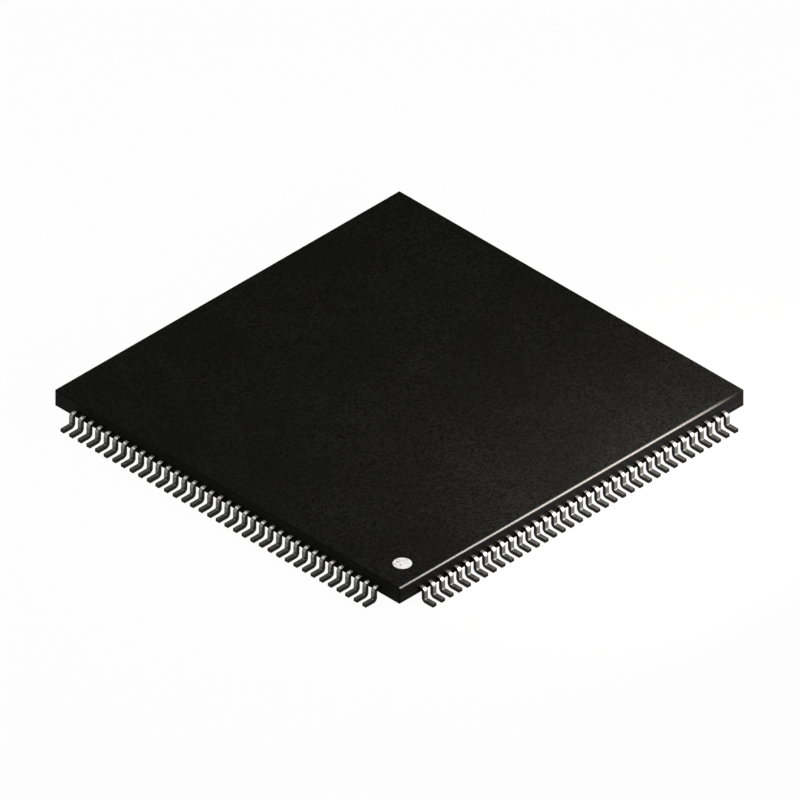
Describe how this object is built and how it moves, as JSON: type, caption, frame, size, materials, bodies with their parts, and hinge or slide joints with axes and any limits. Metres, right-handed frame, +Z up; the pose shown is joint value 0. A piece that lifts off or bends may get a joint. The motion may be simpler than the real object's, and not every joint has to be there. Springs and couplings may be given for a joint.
{
  "type": "quad flat pack chip",
  "caption": "Thin square moulded chip package with a row of fine gull-wing leads on each of its four sides and a white dot at the pin 1 corner.",
  "frame": {"origin": "centre of the package on the seating plane, which is the plane of the undersides of its feet", "axes": "+Z up through the body, X and Y square to its sides, with the pin 1 corner at -X -Y; +X is to the right of the front row, where pin 1 is the first lead"},
  "size_m": [0.0216, 0.0216, 0.0012],
  "materials": {
    "mould_compound": "fine spark-eroded mould grain, near black",
    "tinned_leads": "matte tin plate on copper alloy",
    "white_ink": "flat epoxy ink, level with the top face",
    "copper_alloy": "stamped sheet",
    "silver_epoxy": "cured silver-filled adhesive",
    "silicon": "polished silicon",
    "gold_wire": "bright gold"
  },
  "bodies": {
    "root": {"body": "mould_compound", "leads_front": "tinned_leads", "leads_right": "tinned_leads", "leads_back": "tinned_leads", "leads_left": "tinned_leads", "pin_1_mark": "white_ink", "die_pad": "copper_alloy", "die_attach": "silver_epoxy", "die": "silicon", "bond_wires_front": "gold_wire", "bond_wires_right": "gold_wire", "bond_wires_back": "gold_wire", "bond_wires_left": "gold_wire"}
  },
  "joints": []
}
